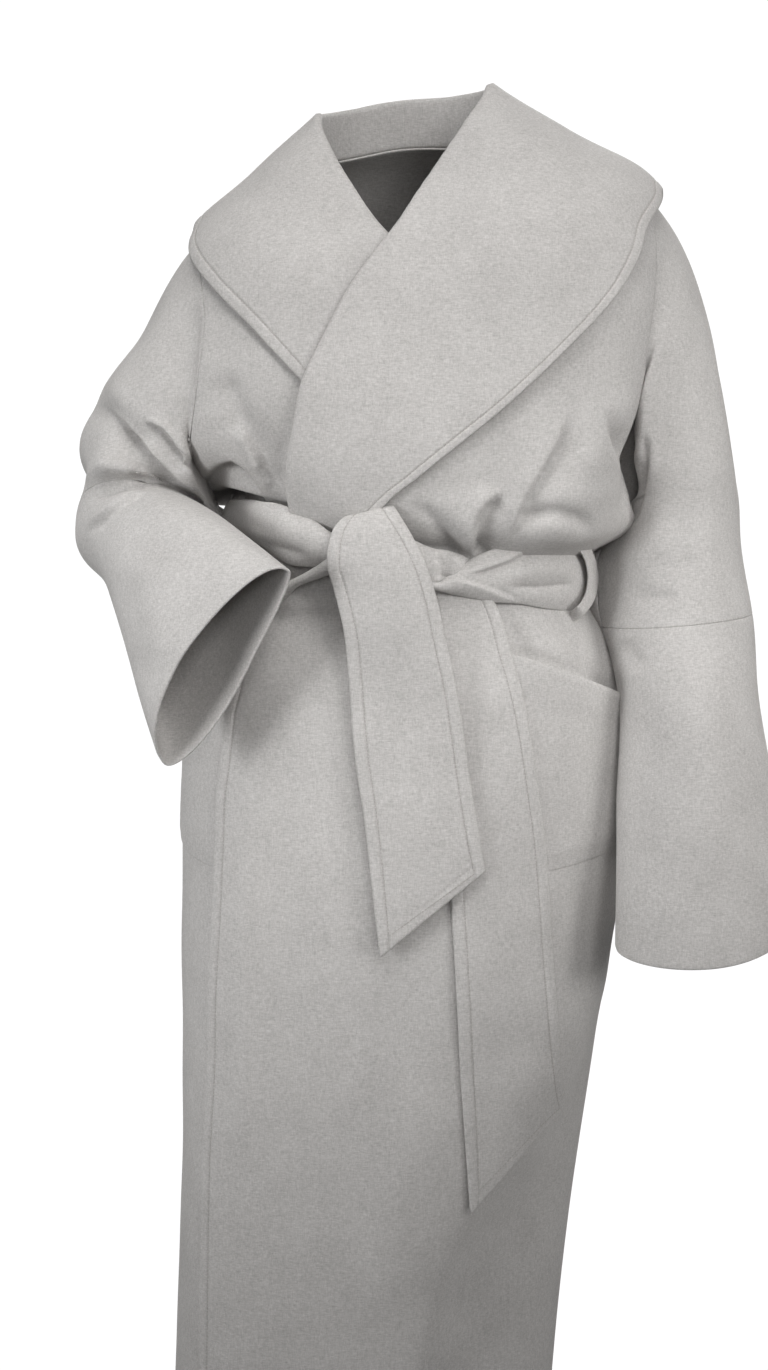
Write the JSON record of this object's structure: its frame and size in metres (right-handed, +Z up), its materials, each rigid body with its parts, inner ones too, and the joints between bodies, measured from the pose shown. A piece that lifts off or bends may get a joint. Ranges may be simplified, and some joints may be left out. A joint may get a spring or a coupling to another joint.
{
  "type": "robe coat",
  "caption": "Long belted wrap coat with a wide shawl collar, dropped shoulders, wide sleeves, patch pockets and a tie belt, held in its hollow worn shape.",
  "frame": {"origin": "between the shoulders at the base of the neck, where the coat hangs on its wearer", "axes": "+Z up, -Y to the front of the coat, +X to the coat's own left"},
  "size_m": [0.6842, 0.3921, 1.3],
  "materials": {
    "wool_cloth": "matt, softly napped light greige melange wool coating"
  },
  "bodies": {
    "root": {"back": "wool_cloth", "front_left": "wool_cloth", "front_right": "wool_cloth", "collar_left": "wool_cloth", "collar_right": "wool_cloth", "sleeve_left_upper_front": "wool_cloth", "sleeve_left_upper_back": "wool_cloth", "sleeve_left_lower_front": "wool_cloth", "sleeve_left_lower_back": "wool_cloth", "sleeve_right_upper_front": "wool_cloth", "sleeve_right_upper_back": "wool_cloth", "sleeve_right_lower_front": "wool_cloth", "sleeve_right_lower_back": "wool_cloth", "pocket_left": "wool_cloth", "pocket_right": "wool_cloth", "belt_band": "wool_cloth", "belt_end_front": "wool_cloth", "belt_end_back": "wool_cloth", "belt_loop_left": "wool_cloth", "belt_loop_right": "wool_cloth"}
  },
  "joints": []
}
